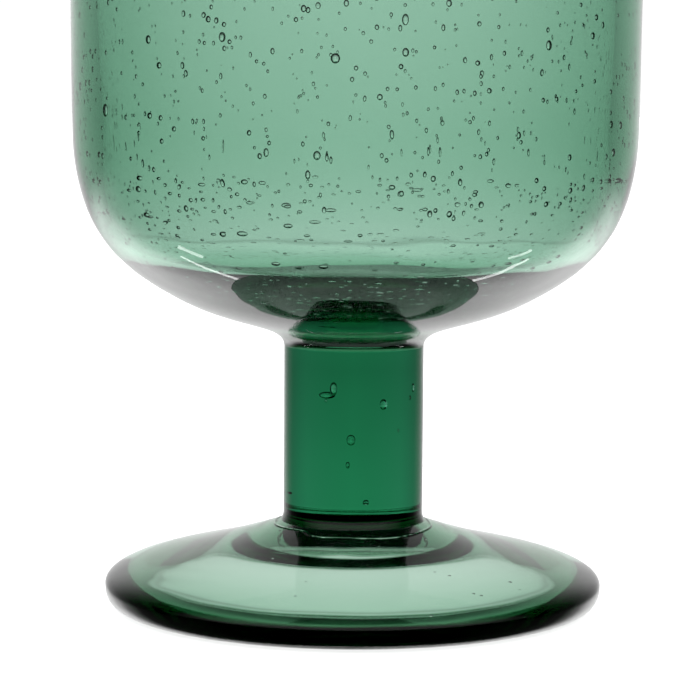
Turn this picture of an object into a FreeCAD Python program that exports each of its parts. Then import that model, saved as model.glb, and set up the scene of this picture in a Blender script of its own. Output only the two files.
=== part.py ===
import FreeCAD, Part
import os

# Footed goblet of thick seeded glass, made as the three gathers that a glassblower joins hot:
# a blown bowl, a stout stem and a pressed foot. Millimetres, +Z up.
# Origin: centre of the ring that the foot stands on.

V = FreeCAD.Vector
AXIS = V(0, 0, 1)
ORIGIN = V(0, 0, 0)
FULL_TURN = 360.0

# Driving dimensions: overall
TOTAL_HEIGHT = 130.0
RIM_RADIUS = 42.9                # outside of the bowl at its rim
WALL_AT_RIM = 3.0

# Bowl, outside: a nearly straight side, then a round shoulder, then a shallow cone to the neck
SIDE_RADIUS = 42.3               # outside radius where the side starts to turn in
SIDE_END_Z = 72.3
SHOULDER_RADIUS = 26.4           # where the round shoulder meets the underside
SHOULDER_Z = 46.25
UNDERSIDE_TILT = 0.532           # rise over run of the underside at the shoulder
SIDE_PULL = 16.0                 # how far each curve keeps its end's direction
SHOULDER_PULL_OUT = 8.8
SHOULDER_PULL_IN = 8.0
NECK_PULL = 3.3

# Bowl, inside: the wall keeps about one thickness down to a nearly flat floor
WALL_AT_SIDE = 4.4
CAVITY_FLOOR_Z = 48.5
CAVITY_SIDE_END_Z = 69.0
CAVITY_SIDE_PULL = 17.0
CAVITY_FLOOR_PULL = 31.0

# Stem: a plain rod that spreads a little where it stands on the foot
STEM_RADIUS = 10.55
STEM_TOP_Z = 39.1
STEM_BOTTOM_Z = 12.55
STEM_FLARE_RADIUS = 10.9
STEM_FLARE_Z = 13.9              # where the spread starts
STEM_FLARE_PULL_DOWN = V(0, 0, -0.6)
STEM_FLARE_PULL_UP = V(-0.15, 0, 0.4)

# Foot: a short flare, an even slope, a rounded edge, and a flat standing ring round a shallow hollow
FOOT_RADIUS = 37.6
FOOT_WIDEST_Z = 3.1
FOOT_SLOPE_RADIUS = 20.0         # where the flare becomes an even slope
FOOT_SLOPE_Z = 9.55
FOOT_SLOPE_TILT = 0.296          # fall over run of that slope
FOOT_FLARE_TILT = 0.45           # fall over run where the foot leaves the stem
FOOT_FLARE_PULL = 1.35
FOOT_SLOPE_PULL_IN = 2.5
FOOT_SLOPE_PULL_OUT = 8.1
FOOT_EDGE_PULL_UP = 3.0
FOOT_EDGE_PULL_DOWN = 2.5
RING_OUTER_RADIUS = 34.7
RING_INNER_RADIUS = 32.5
RING_EDGE_PULL = 1.7
HOLLOW_DEPTH = 6.0
HOLLOW_EDGE_TILT = 0.355         # rise over run of the hollow where it leaves the ring
HOLLOW_EDGE_PULL = 9.0
HOLLOW_TOP_PULL = 6.0

# Pontil mark: a ground dimple in the middle of the hollow, where the glassblower's rod was broken off
PONTIL_RADIUS = 14.5
PONTIL_DEPTH = 2.1
PONTIL_TILT = 0.3                # rise over run of the dimple at its edge
PONTIL_EDGE_PULL = 3.5
PONTIL_TOP_PULL = 7.0


def at(radius, height):
    """A point of a half outline, in the XZ plane."""
    return V(radius, 0, height)


def line(start, end):
    return Part.makeLine(start, end)


def curve(start, start_pull, end_pull, end):
    """A smooth stretch that leaves start towards start + start_pull and arrives from end + end_pull."""
    bezier = Part.BezierCurve()
    bezier.setPoles([start, start + start_pull, end + end_pull, end])
    return bezier.toShape()


def arc(start, middle, end):
    return Part.Arc(start, middle, end).toShape()


def turned(edges):
    """The solid that a closed half outline sweeps round the glass's axis."""
    return Part.Face(Part.Wire(edges)).revolve(ORIGIN, AXIS, FULL_TURN)


def bowl():
    lip = WALL_AT_RIM / 2
    lip_z = TOTAL_HEIGHT - lip
    outer_rim = at(RIM_RADIUS, lip_z)
    inner_rim = at(RIM_RADIUS - WALL_AT_RIM, lip_z)
    side_end = at(SIDE_RADIUS, SIDE_END_Z)
    shoulder = at(SHOULDER_RADIUS, SHOULDER_Z)
    neck = at(STEM_RADIUS, STEM_TOP_Z)
    cavity_side_end = at(SIDE_RADIUS - WALL_AT_SIDE, CAVITY_SIDE_END_Z)
    cavity_floor = at(0, CAVITY_FLOOR_Z)
    underside = V(1, 0, UNDERSIDE_TILT)
    side = (side_end - outer_rim).normalize()
    cavity_side = (cavity_side_end - inner_rim).normalize()
    return turned([
        arc(inner_rim, at(RIM_RADIUS - lip, TOTAL_HEIGHT), outer_rim),
        line(outer_rim, side_end),
        curve(side_end, side * SIDE_PULL, underside * SHOULDER_PULL_OUT, shoulder),
        curve(shoulder, underside * -SHOULDER_PULL_IN, V(0, 0, NECK_PULL), neck),
        line(neck, at(0, STEM_TOP_Z)),
        line(at(0, STEM_TOP_Z), cavity_floor),
        curve(cavity_floor, V(CAVITY_FLOOR_PULL, 0, 0), cavity_side * CAVITY_SIDE_PULL, cavity_side_end),
        line(cavity_side_end, inner_rim),
    ])


def stem():
    top = at(STEM_RADIUS, STEM_TOP_Z)
    flare = at(STEM_RADIUS, STEM_FLARE_Z)
    bottom = at(STEM_FLARE_RADIUS, STEM_BOTTOM_Z)
    return turned([
        line(at(0, STEM_TOP_Z), top),
        line(top, flare),
        curve(flare, STEM_FLARE_PULL_DOWN, STEM_FLARE_PULL_UP, bottom),
        line(bottom, at(0, STEM_BOTTOM_Z)),
        line(at(0, STEM_BOTTOM_Z), at(0, STEM_TOP_Z)),
    ])


def foot():
    top = at(STEM_FLARE_RADIUS, STEM_BOTTOM_Z)
    slope = at(FOOT_SLOPE_RADIUS, FOOT_SLOPE_Z)
    widest = at(FOOT_RADIUS, FOOT_WIDEST_Z)
    ring_outer = at(RING_OUTER_RADIUS, 0)
    ring_inner = at(RING_INNER_RADIUS, 0)
    pontil_edge = at(PONTIL_RADIUS, HOLLOW_DEPTH)
    pontil_top = at(0, HOLLOW_DEPTH + PONTIL_DEPTH)
    flare_fall = V(1, 0, -FOOT_FLARE_TILT)
    slope_fall = V(1, 0, -FOOT_SLOPE_TILT)
    hollow_rise = V(-1, 0, HOLLOW_EDGE_TILT)
    pontil_rise = V(-1, 0, PONTIL_TILT)
    return turned([
        line(at(0, STEM_BOTTOM_Z), top),
        curve(top, flare_fall * FOOT_FLARE_PULL, slope_fall * -FOOT_SLOPE_PULL_IN, slope),
        curve(slope, slope_fall * FOOT_SLOPE_PULL_OUT, V(0, 0, FOOT_EDGE_PULL_UP), widest),
        curve(widest, V(0, 0, -FOOT_EDGE_PULL_DOWN), V(RING_EDGE_PULL, 0, 0), ring_outer),
        line(ring_outer, ring_inner),
        curve(ring_inner, hollow_rise * HOLLOW_EDGE_PULL, V(HOLLOW_TOP_PULL, 0, 0), pontil_edge),
        curve(pontil_edge, pontil_rise * PONTIL_EDGE_PULL, V(PONTIL_TOP_PULL, 0, 0), pontil_top),
        line(pontil_top, at(0, STEM_BOTTOM_Z)),
    ])


PIECES = {"bowl": bowl, "stem": stem, "foot": foot}

os.makedirs("parts", exist_ok=True)
for name, make in PIECES.items():
    solid = make()
    solid.exportStep("parts/" + name + ".step")
    print(name, "valid:", solid.isValid(), "volume cm3:", round(solid.Volume / 1000, 2))
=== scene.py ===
import math

import bmesh
import bpy
import numpy as np
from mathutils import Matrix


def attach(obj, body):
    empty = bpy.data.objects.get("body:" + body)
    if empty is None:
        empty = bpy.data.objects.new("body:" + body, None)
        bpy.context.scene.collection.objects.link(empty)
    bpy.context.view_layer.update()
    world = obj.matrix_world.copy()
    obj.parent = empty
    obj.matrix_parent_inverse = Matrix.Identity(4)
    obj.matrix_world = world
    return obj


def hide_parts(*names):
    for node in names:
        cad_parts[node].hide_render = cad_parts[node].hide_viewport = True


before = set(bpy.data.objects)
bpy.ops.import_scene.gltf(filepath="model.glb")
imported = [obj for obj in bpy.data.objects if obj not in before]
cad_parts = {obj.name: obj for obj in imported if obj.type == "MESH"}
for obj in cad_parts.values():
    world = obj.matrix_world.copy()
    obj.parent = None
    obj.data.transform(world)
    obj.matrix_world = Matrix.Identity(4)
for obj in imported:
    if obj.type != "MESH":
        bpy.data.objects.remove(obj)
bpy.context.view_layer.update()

# Footed goblet of thick seeded glass, made as the three gathers that a glassblower joins hot: a bowl, a stem
# and a foot. Each is one closed mesh, with its air bubbles as voids. Lengths are millimetres, and turn into
# metres where a mesh, a light or the camera is made. +Z is up.
# Origin: centre of the ring that the foot stands on.

MM = 0.001
FULL_TURN = 2 * math.pi

# Driving dimensions: overall
TOTAL_HEIGHT = 130.0
RIM_RADIUS = 42.9
WALL_AT_RIM = 3.0

# Bowl, outside: a nearly straight side, then a round shoulder, then a shallow cone to the neck
SIDE_RADIUS = 42.3
SIDE_END_Z = 72.3
SHOULDER_RADIUS = 26.4
SHOULDER_Z = 46.25
UNDERSIDE_TILT = 0.532           # rise over run
SIDE_PULL = 16.0                 # how far each curve keeps its end's direction
SHOULDER_PULL_OUT = 8.8
SHOULDER_PULL_IN = 8.0
NECK_PULL = 3.3

# Bowl, inside
WALL_AT_SIDE = 4.4
CAVITY_FLOOR_Z = 48.5
CAVITY_SIDE_END_Z = 69.0
CAVITY_SIDE_PULL = 17.0
CAVITY_FLOOR_PULL = 31.0

# Stem
STEM_RADIUS = 10.55
STEM_TOP_Z = 39.1
STEM_BOTTOM_Z = 12.55
STEM_FLARE_RADIUS = 10.9
STEM_FLARE_Z = 13.9
STEM_FLARE_PULL_DOWN = (0.0, -0.6)
STEM_FLARE_PULL_UP = (-0.15, 0.4)

# Foot: a short flare, an even slope, a rounded edge, a flat standing ring, a hollow and a pontil dimple
FOOT_RADIUS = 37.6
FOOT_WIDEST_Z = 3.1
FOOT_SLOPE_RADIUS = 20.0
FOOT_SLOPE_Z = 9.55
FOOT_SLOPE_TILT = 0.296          # fall over run
FOOT_FLARE_TILT = 0.45
FOOT_FLARE_PULL = 1.35
FOOT_SLOPE_PULL_IN = 2.5
FOOT_SLOPE_PULL_OUT = 8.1
FOOT_EDGE_PULL_UP = 3.0
FOOT_EDGE_PULL_DOWN = 2.5
RING_OUTER_RADIUS = 34.7
RING_INNER_RADIUS = 32.5
RING_EDGE_PULL = 1.7
HOLLOW_DEPTH = 6.0
HOLLOW_EDGE_TILT = 0.355         # rise over run
HOLLOW_EDGE_PULL = 9.0
HOLLOW_TOP_PULL = 6.0
PONTIL_RADIUS = 14.5
PONTIL_DEPTH = 2.1
PONTIL_TILT = 0.3
PONTIL_EDGE_PULL = 3.5
PONTIL_TOP_PULL = 7.0

# Mesh: faces round the axis, and points along each stretch of an outline
SEGMENTS = 256
CAVITY_POINTS = 40
WALL_POINTS = 16
LIP_POINTS = 17
SHOULDER_POINTS = 34
UNDERSIDE_POINTS = 24
STEM_POINTS = 20
STEM_FLARE_POINTS = 22
FOOT_FLARE_POINTS = 56
FOOT_FLARE_CROWD = 1.6           # sets the flare's points closer together near the seam
FOOT_SLOPE_POINTS = 30
FOOT_EDGE_POINTS = 16
RING_POINTS = 4
HOLLOW_POINTS = 26
PONTIL_POINTS = 18
AXIS_REACH = 1e-6                # a point nearer the axis than this lies on it
SHARP_ANGLE = math.radians(60)
JOINT_GAP = 0.01                 # kept at both ends of the stem, so that faces don't coincide

# Seam where the stem was set on the foot: a thin bead that dips in front, and steps down at a kink
SEAM_Z = 12.95
SEAM_DIP = 1.3
SEAM_WAVES = ((3, 0.7, 0.07), (7, 0.0, 0.04))      # waves round the stem, phase, height
SEAM_KINK = 0.5
SEAM_KINK_AT = -2.15             # angle round the stem, in radians
SEAM_KINK_RUN = 0.05             # angle over which it steps down
SEAM_KINK_FADE = 0.5             # angle over which it dies away to the left
SEAM_HEIGHT = 0.17
SEAM_WIDTH = 0.14
SEAM_LIFT = 0.5                  # share of the bead's height that also rises, where it lies on the foot
SEAM_LIFT_START = 0.1            # how far below the joint the foot's share starts
SEAM_LEAST_RADIUS = 1.0          # a point nearer the axis grows as if it were here

# The surface is a little uneven: waves round the glass, radians per mm of height, phase, and for a swell the
# share of the radius by which it moves the surface
SWELLS = ((2, 0.031, 0.4, 0.0028), (3, -0.047, 2.1, 0.0016), (5, 0.11, 0.0, 0.0007))
RIPPLES = ((9, 0.31, 0.3), (-13, 0.22, 1.9), (6, -0.4, 4.2), (17, 0.13, 2.7), (4, 0.55, 5.5))
RIPPLE = 0.00022                 # the share of the radius, for every ripple
RIPPLE_INWARD = 1.7              # radians per mm of radius, so that the wall's two faces differ

# Air bubbles. A kind is placed in the ring from near to reach and from low to high; size is a typical width,
# spread how much it varies, most the largest; stretch is the mean extra length, along the outline or,
# when round, round the axis; flat thins them
BOWL_BUBBLES = {"count": 1500, "tries": 20000, "near": 30.0, "reach": 43.0, "low": 60.0, "high": 129.0,
                "size": 0.46, "spread": 0.38, "most": 1.3, "stretch": 0.22, "flat": 1.0, "round": False}
FLOOR_BUBBLES = {"count": 760, "tries": 12000, "near": 22.0, "reach": 41.0, "low": 45.0, "high": 66.0,
                 "size": 0.42, "spread": 0.3, "most": 0.9, "stretch": 0.8, "flat": 0.8, "round": True}
STEM_BUBBLES = {"count": 14, "tries": 40, "near": 0.0, "reach": 10.5, "low": 15.0, "high": 38.5,
                "size": 0.5, "spread": 0.5, "most": 1.1, "stretch": 0.6, "flat": 1.0, "round": False}
FOOT_BUBBLES = {"count": 26, "tries": 200, "near": 0.0, "reach": 37.0, "low": 1.0, "high": 12.0,
                "size": 0.3, "spread": 0.3, "most": 0.7, "stretch": 0.5, "flat": 0.8, "round": True}
JOINT_BUBBLES = (((0.0, -2.0, 40.5), (3.2, 3.0, 0.18)),)      # middle and half sizes, trapped at the neck
BUBBLE_LEAST = 0.2
BUBBLE_FLATNESS = (0.6, 0.9)     # thickness over width, before the kind's own
BUBBLE_STRETCH_SHAPE = 2.0       # low: many hardly stretched and a few long; high: all alike
BUBBLE_SKIN = 0.25               # least glass between a bubble and the surface
BUBBLE_SPACE = 0.25              # least glass between two bubbles
BUBBLE_FINE = 0.85               # a longer bubble gets the finer mesh
FINE_BALL = 3
COARSE_BALL = 2
SEED = 11

# Glass: how strongly red, green and blue are absorbed, per metre
IOR = 1.5
BOWL_ABSORB = (163.0, 81.5, 121.0)
STEM_ABSORB = (208.0, 82.7, 126.0)
FOOT_ABSORB = (148.0, 81.5, 118.0)
ABSORB_HEADROOM = 1.05           # keeps the volume's colour above zero

# The studio's brightness by direction: patches of (azimuth stops, elevation stops), each stop an angle in
# degrees and a level. Azimuth runs from behind the glass (0) to its front (180), the same on both sides;
# elevation from straight below (-90) to straight above (90). The mirrored patches are seen in reflections.
BEHIND = (((0, 1.0), (30, 0.82), (45, 0.62), (60, 0.52), (74, 0.48), (105, 0.52), (130, 0.7), (180, 0.75)),
          ((-90, 1.0), (-25, 1.15), (-12, 1.15), (-9, 1.1), (-6.3, 0.75), (-4, 1.0), (10, 1.0), (22, 0.6),
           (34, 0.25), (50, 0.05), (90, 0.0)))
BELOW = (((0, 0.0), (30, 0.2), (60, 0.3), (120, 0.3), (180, 0.3)),
         ((-90, 1.3), (-30, 1.2), (-20, 0.8), (-12, 0.0), (90, 0.0)))
BEHIND_MIRRORED = (((0, 1.0), (20, 0.95), (45, 0.3), (60, 0.05), (80, 0.0), (180, 0.0)),
                   ((-90, 0.6), (-45, 1.1), (-25, 0.95), (15, 0.9), (40, 0.3), (90, 0.0)))
BELOW_MIRRORED = (((0, 0.0), (15, 0.25), (30, 0.9), (42, 1.0), (52, 0.4), (65, 0.03), (120, 0.0),
                   (180, 0.0)),
                  ((-90, 1.25), (-25, 1.7), (-14, 1.0), (-9, 0.0), (90, 0.0)))
FRONT_MIRRORED = (((0, 0.0), (90, 0.0), (130, 0.5), (180, 0.5)),
                  ((-90, 0.0), (-5, 0.0), (3, 0.8), (10, 1.0), (40, 1.0), (60, 0.0), (90, 0.0)))
BACKDROP = 1.05                  # what the camera and the floor see
CURVE_TOP = 4.0                  # level at the top of a curve node

# Floor, in metres, and the shadowless light that keeps it pale
FLOOR_REACH = 6.0
FLOOR_Z = -0.0003
FLOOR_GREY = 0.8
FILL_STRENGTH = 3.2
FILL_SPREAD = math.radians(20)

# Lit streaks of the table at both sides, mirrored in the bowl's round bottom: two ends (x, y) and a width
GLINTS = (((-70.0, 3.0), (-31.0, -6.0), 3.0), ((-80.0, -5.6), (-61.6, -13.2), 3.5))
GLINT_Z = 0.2                    # just above the table
GLINT_RADIANCE = 5.0

# Camera, in millimetres and degrees
CAMERA_PLACE = (-0.6, -390.0, 78.7)
CAMERA_PITCH = 5.9
CAMERA_ROLL = 0.45
LENS = 133.1
SENSOR = 36.0
CLIP_START = 0.01
CLIP_END = 100.0

BOUNCES = 32
GLOSSY_BOUNCES = 16


def vec(radius, z):
    """A point or direction of a half outline."""
    return np.array((radius, z), dtype=float)


def unit(direction):
    return direction / np.linalg.norm(direction)


def curve(start, start_pull, end_pull, end, count, crowd=1.0):
    """A smooth stretch of points; a crowd above 1 sets them closer together near the start."""
    t = np.linspace(0, 1, count)[:, None] ** crowd
    a, b, c, d = start, start + start_pull, end + end_pull, end
    return (1 - t) ** 3 * a + 3 * (1 - t) ** 2 * t * b + 3 * (1 - t) * t ** 2 * c + t ** 3 * d


def straight(start, end, count):
    t = np.linspace(0, 1, count)[:, None]
    return start + (end - start) * t


def joined(stretches):
    """One outline from stretches that each start where the last one ended."""
    return np.vstack([stretches[0]] + [stretch[1:] for stretch in stretches[1:]])


def bowl_profile():
    """From the middle of the cavity's floor, over the rim, down to the neck."""
    lip = WALL_AT_RIM / 2
    lip_z = TOTAL_HEIGHT - lip
    outer_rim = vec(RIM_RADIUS, lip_z)
    inner_rim = vec(RIM_RADIUS - WALL_AT_RIM, lip_z)
    side_end = vec(SIDE_RADIUS, SIDE_END_Z)
    shoulder = vec(SHOULDER_RADIUS, SHOULDER_Z)
    neck = vec(STEM_RADIUS, STEM_TOP_Z)
    cavity_side_end = vec(SIDE_RADIUS - WALL_AT_SIDE, CAVITY_SIDE_END_Z)
    cavity_floor = vec(0, CAVITY_FLOOR_Z)
    underside = vec(1, UNDERSIDE_TILT)
    side = unit(side_end - outer_rim)
    cavity_side = unit(cavity_side_end - inner_rim)
    over = np.linspace(math.pi, 0, LIP_POINTS)
    rim = np.stack([RIM_RADIUS - lip + lip * np.cos(over), lip_z + lip * np.sin(over)], 1)
    return joined([
        curve(cavity_floor, vec(CAVITY_FLOOR_PULL, 0), cavity_side * CAVITY_SIDE_PULL, cavity_side_end,
              CAVITY_POINTS),
        straight(cavity_side_end, inner_rim, WALL_POINTS),
        rim,
        straight(outer_rim, side_end, WALL_POINTS),
        curve(side_end, side * SIDE_PULL, underside * SHOULDER_PULL_OUT, shoulder, SHOULDER_POINTS),
        curve(shoulder, -underside * SHOULDER_PULL_IN, vec(0, NECK_PULL), neck, UNDERSIDE_POINTS),
    ])


def stem_profile():
    """Down the side of the stem, short of the neighbouring pieces by the joint's gap."""
    top = vec(STEM_RADIUS, STEM_TOP_Z - JOINT_GAP)
    flare = vec(STEM_RADIUS, STEM_FLARE_Z)
    bottom = vec(STEM_FLARE_RADIUS, STEM_BOTTOM_Z + JOINT_GAP)
    return joined([
        straight(top, flare, STEM_POINTS),
        curve(flare, vec(*STEM_FLARE_PULL_DOWN), vec(*STEM_FLARE_PULL_UP), bottom, STEM_FLARE_POINTS),
    ])


def foot_profile():
    """From the stem over the slope and the edge, under the ring, to the middle of the pontil dimple."""
    top = vec(STEM_FLARE_RADIUS, STEM_BOTTOM_Z)
    slope = vec(FOOT_SLOPE_RADIUS, FOOT_SLOPE_Z)
    widest = vec(FOOT_RADIUS, FOOT_WIDEST_Z)
    ring_outer = vec(RING_OUTER_RADIUS, 0)
    ring_inner = vec(RING_INNER_RADIUS, 0)
    pontil_edge = vec(PONTIL_RADIUS, HOLLOW_DEPTH)
    pontil_top = vec(0, HOLLOW_DEPTH + PONTIL_DEPTH)
    flare_fall = vec(1, -FOOT_FLARE_TILT)
    slope_fall = vec(1, -FOOT_SLOPE_TILT)
    hollow_rise = vec(-1, HOLLOW_EDGE_TILT)
    pontil_rise = vec(-1, PONTIL_TILT)
    return joined([
        curve(top, flare_fall * FOOT_FLARE_PULL, -slope_fall * FOOT_SLOPE_PULL_IN, slope,
              FOOT_FLARE_POINTS, FOOT_FLARE_CROWD),
        curve(slope, slope_fall * FOOT_SLOPE_PULL_OUT, vec(0, FOOT_EDGE_PULL_UP), widest, FOOT_SLOPE_POINTS),
        curve(widest, vec(0, -FOOT_EDGE_PULL_DOWN), vec(RING_EDGE_PULL, 0), ring_outer, FOOT_EDGE_POINTS),
        straight(ring_outer, ring_inner, RING_POINTS),
        curve(ring_inner, hollow_rise * HOLLOW_EDGE_PULL, vec(HOLLOW_TOP_PULL, 0), pontil_edge,
              HOLLOW_POINTS),
        curve(pontil_edge, pontil_rise * PONTIL_EDGE_PULL, vec(PONTIL_TOP_PULL, 0), pontil_top,
              PONTIL_POINTS),
    ])


def lathe(profile, cap_first=False, cap_last=False):
    """Points, faces and solid flags of a turned outline. An end on the axis closes in a fan, and a cap, which
    is a joint inside the glass and so isn't solid, closes an end that is off it."""
    turns = np.linspace(0, FULL_TURN, SEGMENTS, endpoint=False)
    points, faces, rings = [], [], []
    count = 0
    for radius, z in profile:
        steps = turns[:1] if radius < AXIS_REACH else turns
        rings.append(range(count, count + len(steps)))
        count += len(steps)
        points.append(np.stack([radius * np.cos(steps), radius * np.sin(steps), np.full(len(steps), z)], 1))
    for ring, following in zip(rings, rings[1:]):
        for k in range(SEGMENTS):
            n = (k + 1) % SEGMENTS
            if len(ring) == 1:
                faces.append((ring[0], following[k], following[n]))
            elif len(following) == 1:
                faces.append((ring[n], ring[k], following[0]))
            else:
                faces.append((ring[k], following[k], following[n], ring[n]))
    solid = [1.0] * len(faces)
    if cap_first:
        faces.append(tuple(rings[0]))
        solid.append(0.0)
    if cap_last:
        faces.append(tuple(reversed(rings[-1])))
        solid.append(0.0)
    return np.vstack(points), faces, solid


def ball(detail):
    """Points and faces of a round ball of radius 1, wound so that its normals face its middle."""
    shape = bmesh.new()
    bmesh.ops.create_icosphere(shape, subdivisions=detail, radius=1.0)
    points = np.array([vertex.co[:] for vertex in shape.verts])
    faces = [tuple(vertex.index for vertex in reversed(face.verts)) for face in shape.faces]
    shape.free()
    return points, faces


def clearance(spots, outline):
    """Each spot's distance from an outline, the outline's direction there, and whether the spot is inside."""
    start, end = outline[:-1], outline[1:]
    run = end - start
    length_squared = (run ** 2).sum(1)
    offset = spots[:, None, :] - start[None]
    t = np.clip((offset * run).sum(2) / length_squared, 0, 1)
    gap = np.linalg.norm(offset - t[..., None] * run, axis=2)
    nearest = gap.argmin(1)
    along = run[nearest] / np.sqrt(length_squared[nearest])[:, None]
    closed = np.vstack([outline, outline[:1]])
    low, high = closed[:-1], closed[1:]
    height = spots[:, None, 1]
    rise = np.where(high[:, 1] == low[:, 1], 1.0, high[:, 1] - low[:, 1])
    crossing = low[:, 0] + (height - low[:, 1]) * (high[:, 0] - low[:, 0]) / rise
    spans = (low[None, :, 1] > height) != (high[None, :, 1] > height)
    inside = (spans & (spots[:, None, 0] < crossing)).sum(1) % 2 == 1
    return gap.min(1), along, inside


def add_bubbles(outline, kind, rng, middles, axes):
    """Adds air bubbles of a kind inside a half outline to the lists of middles and half axes."""
    tries, reach = kind["tries"], kind["reach"]
    radii = rng.uniform(kind["near"], reach, tries)
    heights = rng.uniform(kind["low"], kind["high"], tries)
    spots = np.stack([radii, heights], 1)[rng.uniform(0, reach, tries) < radii]
    widths = np.exp(rng.normal(math.log(kind["size"]), kind["spread"], len(spots)))
    half = np.clip(widths, BUBBLE_LEAST, kind["most"]) / 2
    long = 1 + rng.gamma(BUBBLE_STRETCH_SHAPE, kind["stretch"] / BUBBLE_STRETCH_SHAPE, len(spots))
    thick = rng.uniform(*BUBBLE_FLATNESS, len(spots)) * kind["flat"]
    turn = rng.uniform(0, FULL_TURN, len(spots))
    gap, along, inside = clearance(spots, outline)
    taken = np.zeros((len(middles) + kind["count"], 4))
    for k, (middle, axis) in enumerate(zip(middles, axes)):
        taken[k] = (*middle, np.linalg.norm(axis, axis=1).max())
    for k in np.nonzero(inside & (gap > half + BUBBLE_SKIN))[0]:
        used = len(middles)
        if used == len(taken):
            break
        cos, sin = math.cos(turn[k]), math.sin(turn[k])
        middle = np.array((spots[k, 0] * cos, spots[k, 0] * sin, spots[k, 1]))
        longest = half[k] * long[k]
        apart = np.linalg.norm(taken[:used, :3] - middle, axis=1)
        if (apart < BUBBLE_SPACE + longest + taken[:used, 3]).any():
            continue
        taken[used] = (*middle, longest)
        outward, upward = along[k]
        meridian = np.array((outward * cos, outward * sin, upward))
        around = np.array((-sin, cos, 0))
        across = np.cross(meridian, around)
        sides = (half[k], longest) if kind["round"] else (longest, half[k])
        middles.append(middle)
        axes.append(np.stack([meridian * sides[0], around * sides[1], across * half[k] * thick[k]]))


def with_bubbles(shape, outline, kinds, rng, trapped=()):
    """Adds bubbles of some kinds, and trapped ones at given places, to a turned mesh, as voids."""
    points, faces, solid = shape
    middles = [np.array(middle) for middle, _ in trapped]
    axes = [np.diag(half_sizes) for _, half_sizes in trapped]
    for kind in kinds:
        add_bubbles(outline, kind, rng, middles, axes)
    stacks, count = [points], len(points)
    fine, coarse = ball(FINE_BALL), ball(COARSE_BALL)
    for middle, axis in zip(middles, axes):
        ball_points, ball_faces = fine if np.linalg.norm(axis[1]) > BUBBLE_FINE / 2 else coarse
        stacks.append(middle + ball_points @ axis)
        faces.extend(tuple(corner + count for corner in face) for face in ball_faces)
        count += len(ball_points)
    return np.vstack(stacks), faces, solid + [1.0] * (len(faces) - len(solid))


def seam_height(turn):
    """Height of the seam at an angle round the stem."""
    dip = SEAM_DIP * (1 - np.sin(turn)) / 2
    wave = sum(height * np.sin(around * turn + phase) for around, phase, height in SEAM_WAVES)
    past_kink = turn - SEAM_KINK_AT
    kink = SEAM_KINK / (1 + np.exp(past_kink / SEAM_KINK_RUN)) * np.exp(-np.abs(past_kink) / SEAM_KINK_FADE)
    return SEAM_Z - dip + wave + kink


def seamed(points):
    """Raises the seam's bead on the surface of the stem and the foot."""
    x, y, z = points.T
    radius = np.hypot(x, y)
    height = seam_height(np.arctan2(y, x))
    surface = np.vstack([stem_profile(), foot_profile()[:FOOT_FLARE_POINTS]])
    surface = surface[surface[:, 1].argsort()]
    reach = np.interp(height, surface[:, 1], surface[:, 0])
    off = np.hypot(radius - reach, z - height)
    raised = SEAM_HEIGHT * np.exp(-(off / SEAM_WIDTH) ** 2)
    grow = 1 + raised / np.maximum(radius, SEAM_LEAST_RADIUS)
    lift = raised * SEAM_LIFT * (z < STEM_BOTTOM_Z - SEAM_LIFT_START)
    return np.stack([x * grow, y * grow, z + lift], 1)


def uneven(points):
    """Moves points a little in and out, as hot glass settles, so that neighbouring pieces still meet."""
    x, y, z = points.T
    turn = np.arctan2(y, x)
    inward = RIPPLE_INWARD * np.hypot(x, y)
    scale = np.ones(len(points))
    for around, up, phase, share in SWELLS:
        scale += share * np.sin(around * turn + up * z + phase)
    for around, up, phase in RIPPLES:
        scale += RIPPLE * np.sin(around * turn + up * z + phase + inward)
    return np.stack([x * scale, y * scale, z], 1)


def placed(name, data):
    """An object of some data, in the scene."""
    ob = bpy.data.objects.new(name, data)
    bpy.context.scene.collection.objects.link(ob)
    return ob


def glass_mesh(name, shape):
    """The mesh of a piece, smooth but for its joint caps, with the solid flags as a face attribute."""
    points, faces, solid = shape
    mesh = bpy.data.meshes.new(name)
    mesh.from_pydata((uneven(seamed(points)) * MM).tolist(), [], faces)
    mesh.attributes.new("solid", "FLOAT", "FACE").data.foreach_set("value", solid)
    mesh.polygons.foreach_set("use_smooth", [flag > 0 for flag in solid])
    mesh.set_sharp_from_angle(angle=SHARP_ANGLE)
    mesh.update()
    return mesh


def glass(name, absorb):
    """Clear glass, coloured by its thickness. Light crosses the faces that aren't solid unbent."""
    density = max(absorb) * ABSORB_HEADROOM
    material = bpy.data.materials.new(name)
    material.use_nodes = True
    tree = material.node_tree
    surface = tree.nodes["Principled BSDF"]
    surface.inputs["Base Color"].default_value = (1, 1, 1, 1)
    surface.inputs["Roughness"].default_value = 0.0
    surface.inputs["IOR"].default_value = IOR
    surface.inputs["Transmission Weight"].default_value = 1.0
    solid = tree.nodes.new("ShaderNodeAttribute")
    solid.attribute_name = "solid"
    tree.links.new(solid.outputs["Fac"], surface.inputs["Alpha"])
    volume = tree.nodes.new("ShaderNodeVolumeAbsorption")
    volume.inputs["Color"].default_value = (*[1 - channel / density for channel in absorb], 1)
    volume.inputs["Density"].default_value = density
    tree.links.new(volume.outputs[0], tree.nodes["Material Output"].inputs["Volume"])
    return material


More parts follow.
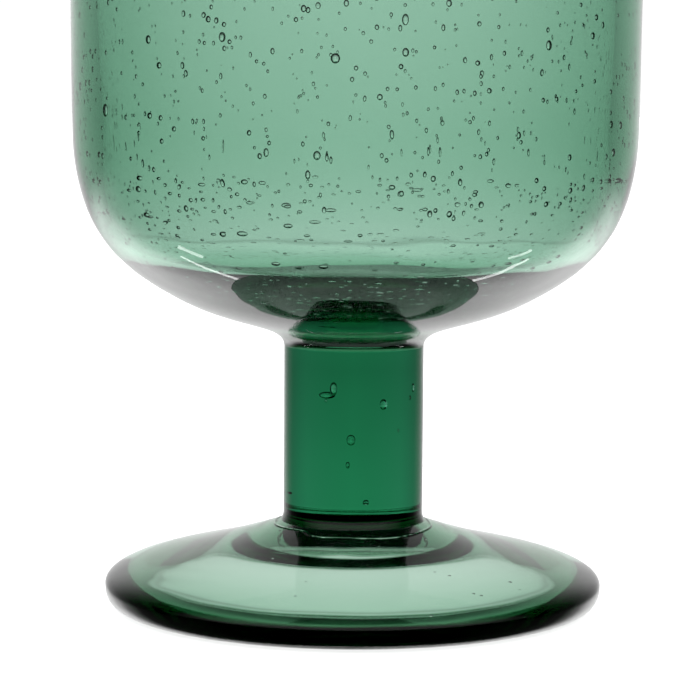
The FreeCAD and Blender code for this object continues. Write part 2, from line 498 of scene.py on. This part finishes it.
def make_glass():
    """The three pieces by node. Each rides on the part's one body and stands for its CAD solid."""
    rng = np.random.default_rng(SEED)
    joint_top, joint_bottom = vec(0, STEM_TOP_Z), vec(0, STEM_BOTTOM_Z)
    bowl, stem, foot = bowl_profile(), stem_profile(), foot_profile()
    bowl_shape = with_bubbles(lathe(bowl, cap_last=True), np.vstack([bowl, joint_top]),
                              (BOWL_BUBBLES, FLOOR_BUBBLES), rng, JOINT_BUBBLES)
    stem_shape = with_bubbles(lathe(stem, cap_first=True, cap_last=True),
                              np.vstack([stem, joint_bottom, joint_top]), (STEM_BUBBLES,), rng)
    foot_shape = with_bubbles(lathe(foot, cap_first=True), np.vstack([joint_bottom, foot]),
                              (FOOT_BUBBLES,), rng)
    pieces = {}
    for node, slot, absorb, shape in (("bowl", "seeded_glass", BOWL_ABSORB, bowl_shape),
                                      ("stem", "stem_glass", STEM_ABSORB, stem_shape),
                                      ("foot", "foot_glass", FOOT_ABSORB, foot_shape)):
        ob = placed("glass_" + node, glass_mesh("glass_" + node, shape))
        ob.data.materials.append(glass(slot, absorb))
        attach(ob, "root")
        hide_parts(node)
        pieces[node] = ob
    return pieces


def paper():
    material = bpy.data.materials.new("floor_paper")
    material.use_nodes = True
    surface = material.node_tree.nodes["Principled BSDF"]
    surface.inputs["Base Color"].default_value = (FLOOR_GREY, FLOOR_GREY, FLOOR_GREY, 1)
    surface.inputs["Roughness"].default_value = 1.0
    surface.inputs["Specular IOR Level"].default_value = 0.0
    return material


def make_floor():
    """A wide pale floor and its light. The glass doesn't see it, but the studio's own light from below."""
    mesh = bpy.data.meshes.new("floor")
    reach = FLOOR_REACH
    mesh.from_pydata([(-reach, -reach, 0), (reach, -reach, 0), (reach, reach, 0), (-reach, reach, 0)],
                     [], [(0, 1, 2, 3)])
    mesh.materials.append(paper())
    floor = placed("floor", mesh)
    floor.location.z = FLOOR_Z
    floor.visible_glossy = False
    floor.visible_transmission = False
    light = bpy.data.lights.new("floor_fill", "SUN")
    light.energy = FILL_STRENGTH
    light.angle = FILL_SPREAD
    light.use_shadow = False
    fill = placed("floor_fill", light)
    fill.visible_glossy = False
    fill.visible_transmission = False
    fill.visible_camera = False


class Nodes:
    """Short ways to chain nodes in one node tree."""

    def __init__(self, tree):
        self.tree = tree

    def feed(self, socket, value):
        if isinstance(value, (int, float)):
            socket.default_value = value
        else:
            self.tree.links.new(value, socket)

    def math(self, operation, *values):
        node = self.tree.nodes.new("ShaderNodeMath")
        node.operation = operation
        for socket, value in zip(node.inputs, values):
            self.feed(socket, value)
        return node.outputs[0]

    def mix(self, factor, low, high):
        node = self.tree.nodes.new("ShaderNodeMix")
        node.data_type = "FLOAT"
        self.feed(node.inputs[0], factor)
        self.feed(node.inputs[2], low)
        self.feed(node.inputs[3], high)
        return node.outputs[0]

    def stops(self, value, low, high, stops):
        """A piecewise straight function of value, given at a few stops from low to high."""
        node = self.tree.nodes.new("ShaderNodeFloatCurve")
        points = node.mapping.curves[0].points
        while len(points) < len(stops):
            points.new(0, 0)
        for point, (at, level) in zip(points, stops):
            point.location = ((at - low) / (high - low), level / CURVE_TOP)
            point.handle_type = "VECTOR"
        node.mapping.update()
        self.feed(node.inputs["Value"], self.math("DIVIDE", self.math("SUBTRACT", value, low), high - low))
        return self.math("MULTIPLY", node.outputs[0], CURVE_TOP)

    def patches(self, azimuth, elevation, kinds):
        """The summed brightness of some patches in a direction."""
        total = 0.0
        for around, up in kinds:
            level = self.math("MULTIPLY", self.stops(azimuth, 0, 180, around),
                              self.stops(elevation, -90, 90, up))
            total = self.math("ADD", level, total)
        return total


def make_studio():
    """A world of soft white patches, with a plain backdrop for the camera and the floor."""
    world = bpy.data.worlds.new("studio")
    bpy.context.scene.world = world
    world.use_nodes = True
    tree = world.node_tree
    nodes = Nodes(tree)
    direction = tree.nodes.new("ShaderNodeTexCoord").outputs["Generated"]
    split = tree.nodes.new("ShaderNodeSeparateXYZ")
    tree.links.new(direction, split.inputs[0])
    x, y, z = split.outputs
    to_degrees = math.degrees(1)
    sideways = nodes.math("ABSOLUTE", x)
    azimuth = nodes.math("MULTIPLY", nodes.math("ARCTAN2", sideways, y), to_degrees)
    elevation = nodes.math("MULTIPLY", nodes.math("ARCSINE", z), to_degrees)
    through = nodes.patches(azimuth, elevation, (BEHIND, BELOW))
    mirrored = nodes.patches(azimuth, elevation, (BEHIND_MIRRORED, BELOW_MIRRORED, FRONT_MIRRORED))
    path = tree.nodes.new("ShaderNodeLightPath").outputs
    level = nodes.mix(path["Is Reflection Ray"], through, mirrored)
    level = nodes.mix(path["Is Camera Ray"], level, BACKDROP)
    level = nodes.mix(path["Is Diffuse Ray"], level, BACKDROP)
    background = tree.nodes["Background"]
    background.inputs["Color"].default_value = (1, 1, 1, 1)
    tree.links.new(level, background.inputs["Strength"])


def make_glints(taker):
    """Small lights on the table at both sides, which only the taker mirrors."""
    takers = bpy.data.collections.new("glint_takers")
    takers.objects.link(taker)
    for k, (near, far, width) in enumerate(GLINTS):
        for side in (1, -1):
            start, end = np.array(near) * (side, 1), np.array(far) * (side, 1)
            run = end - start
            light = bpy.data.lights.new("glint", "AREA")
            light.shape = "RECTANGLE"
            light.size = np.linalg.norm(run) * MM
            light.size_y = width * MM
            light.energy = GLINT_RADIANCE * math.pi * light.size * light.size_y
            lamp = placed("glint_%d_%d" % (k, side), light)
            lamp.location = (*((start + end) / 2 * MM), GLINT_Z * MM)
            lamp.rotation_euler = (math.pi, 0, math.atan2(run[1], run[0]))
            lamp.visible_camera = False
            lamp.visible_transmission = False
            lamp.visible_diffuse = False
            lamp.light_linking.receiver_collection = takers


def make_camera():
    data = bpy.data.cameras.new("camera")
    data.lens = LENS
    data.sensor_width = SENSOR
    data.clip_start = CLIP_START
    data.clip_end = CLIP_END
    camera = placed("camera", data)
    camera.location = [length * MM for length in CAMERA_PLACE]
    camera.rotation_euler = (math.radians(90 - CAMERA_PITCH), 0, 0)
    camera.rotation_euler.rotate_axis("Z", math.radians(CAMERA_ROLL))
    bpy.context.scene.camera = camera


def set_light_paths():
    """Enough bounces for light to cross both walls, the bubbles and the thick foot."""
    scene = bpy.context.scene
    scene.view_settings.view_transform = "Standard"
    scene.cycles.max_bounces = BOUNCES
    scene.cycles.transmission_bounces = BOUNCES
    scene.cycles.transparent_max_bounces = BOUNCES
    scene.cycles.glossy_bounces = GLOSSY_BOUNCES
    scene.cycles.caustics_refractive = True
    scene.cycles.caustics_reflective = True


glass_pieces = make_glass()
make_floor()
make_studio()
make_glints(glass_pieces["bowl"])
make_camera()
set_light_paths()
